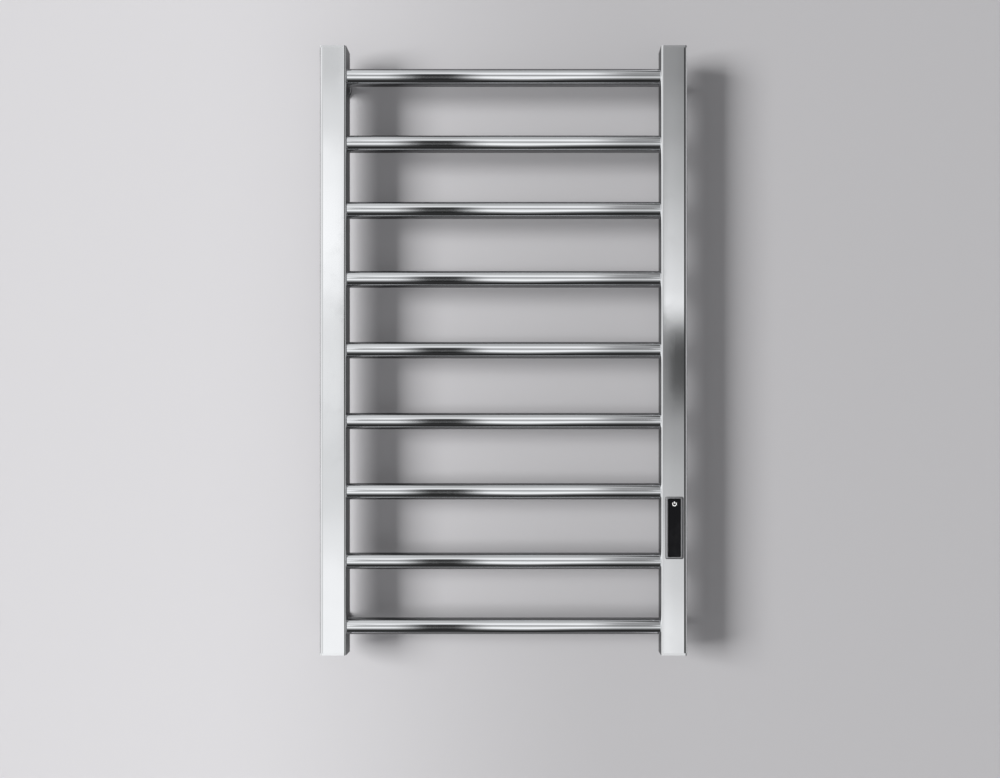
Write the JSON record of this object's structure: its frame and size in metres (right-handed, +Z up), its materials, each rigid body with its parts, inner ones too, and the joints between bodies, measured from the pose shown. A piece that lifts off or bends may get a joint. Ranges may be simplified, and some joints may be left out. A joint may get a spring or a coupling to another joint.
{
  "type": "towel warmer rack",
  "caption": "Wall-hung electric towel warmer ladder: two polished box-section uprights joined by round rungs, with a black glass touch panel and telescoping wall brackets.",
  "frame": {"origin": "on the wall plane, at the centre of the rectangle of the four wall screws", "axes": "+Z up, +Y into the wall along the wall screws, +X to the right as seen from the room; the rack stands out towards -Y"},
  "size_m": [0.555, 0.063, 0.92],
  "materials": {
    "polished_steel": "polished",
    "bracket_steel": "polished",
    "bezel_chrome": "satin",
    "black_glass": "gloss",
    "black_rubber": "matte",
    "zinc_steel": "satin",
    "dark_steel": "satin",
    "red_silicone": "satin",
    "white_silicone": "matte",
    "white_ceramic": "gloss",
    "sensor_epoxy": "satin",
    "black_lead": "satin",
    "brown_lead": "satin",
    "green_lead": "satin",
    "circuit_board": "satin",
    "led_lens": "gloss",
    "grey_plastic": "matte",
    "black_plastic": "satin",
    "transformer_tape": "satin",
    "capacitor_sleeve": "gloss",
    "fuse_ceramic": "gloss",
    "brass": "satin",
    "ivory_plastic": "matte",
    "label_foil": "satin"
  },
  "bodies": {
    "wall_feet": {"wall_foot_top_left": "bracket_steel", "wall_foot_top_right": "bracket_steel", "wall_foot_bottom_left": "bracket_steel", "wall_foot_bottom_right": "bracket_steel"},
    "rack": {"left_upright": "polished_steel", "right_upright": "polished_steel", "left_top_cap": "polished_steel", "left_bottom_cap": "polished_steel", "right_top_cap": "polished_steel", "right_bottom_cap": "polished_steel", "rung_1": "polished_steel", "rung_2": "polished_steel", "rung_3": "polished_steel", "rung_4": "polished_steel", "rung_5": "polished_steel", "rung_6": "polished_steel", "rung_7": "polished_steel", "rung_8": "polished_steel", "rung_9": "polished_steel", "bracket_post_top_left": "bracket_steel", "bracket_post_top_right": "bracket_steel", "bracket_post_bottom_left": "bracket_steel", "bracket_post_bottom_right": "bracket_steel", "bracket_pads": "black_rubber", "post_bolts": "zinc_steel", "rivet_nuts": "zinc_steel", "grub_screws": "dark_steel", "heating_cable": "red_silicone", "cable_end_seal": "black_rubber", "cable_splice": "black_rubber", "cable_spacers": "white_silicone", "heater_leads": "red_silicone", "thermal_cutout": "white_ceramic", "temperature_sensor": "sensor_epoxy", "sensor_leads": "black_lead", "panel_bezel": "bezel_chrome", "panel_glass": "black_glass", "panel_gasket": "black_rubber", "touch_board": "circuit_board", "status_leds": "led_lens", "control_housing": "grey_plastic", "housing_clips": "zinc_steel", "power_board": "circuit_board", "board_header": "black_plastic", "power_relay": "black_plastic", "transformer": "transformer_tape", "capacitors": "capacitor_sleeve", "fuse": "fuse_ceramic", "wireless_module": "zinc_steel", "buzzer": "black_plastic", "board_screws": "brass", "terminal_block": "ivory_plastic", "terminal_screws": "brass", "supply_leads": "brown_lead", "earth_stud": "brass", "earth_lead": "green_lead", "supply_grommet": "black_rubber", "rating_label": "label_foil"}
  },
  "joints": [
    {"name": "bracket_slide", "type": "slide", "parent": "wall_feet", "child": "rack", "axis": [0, -1, 0], "range_m": [0, 0.008]}
  ]
}
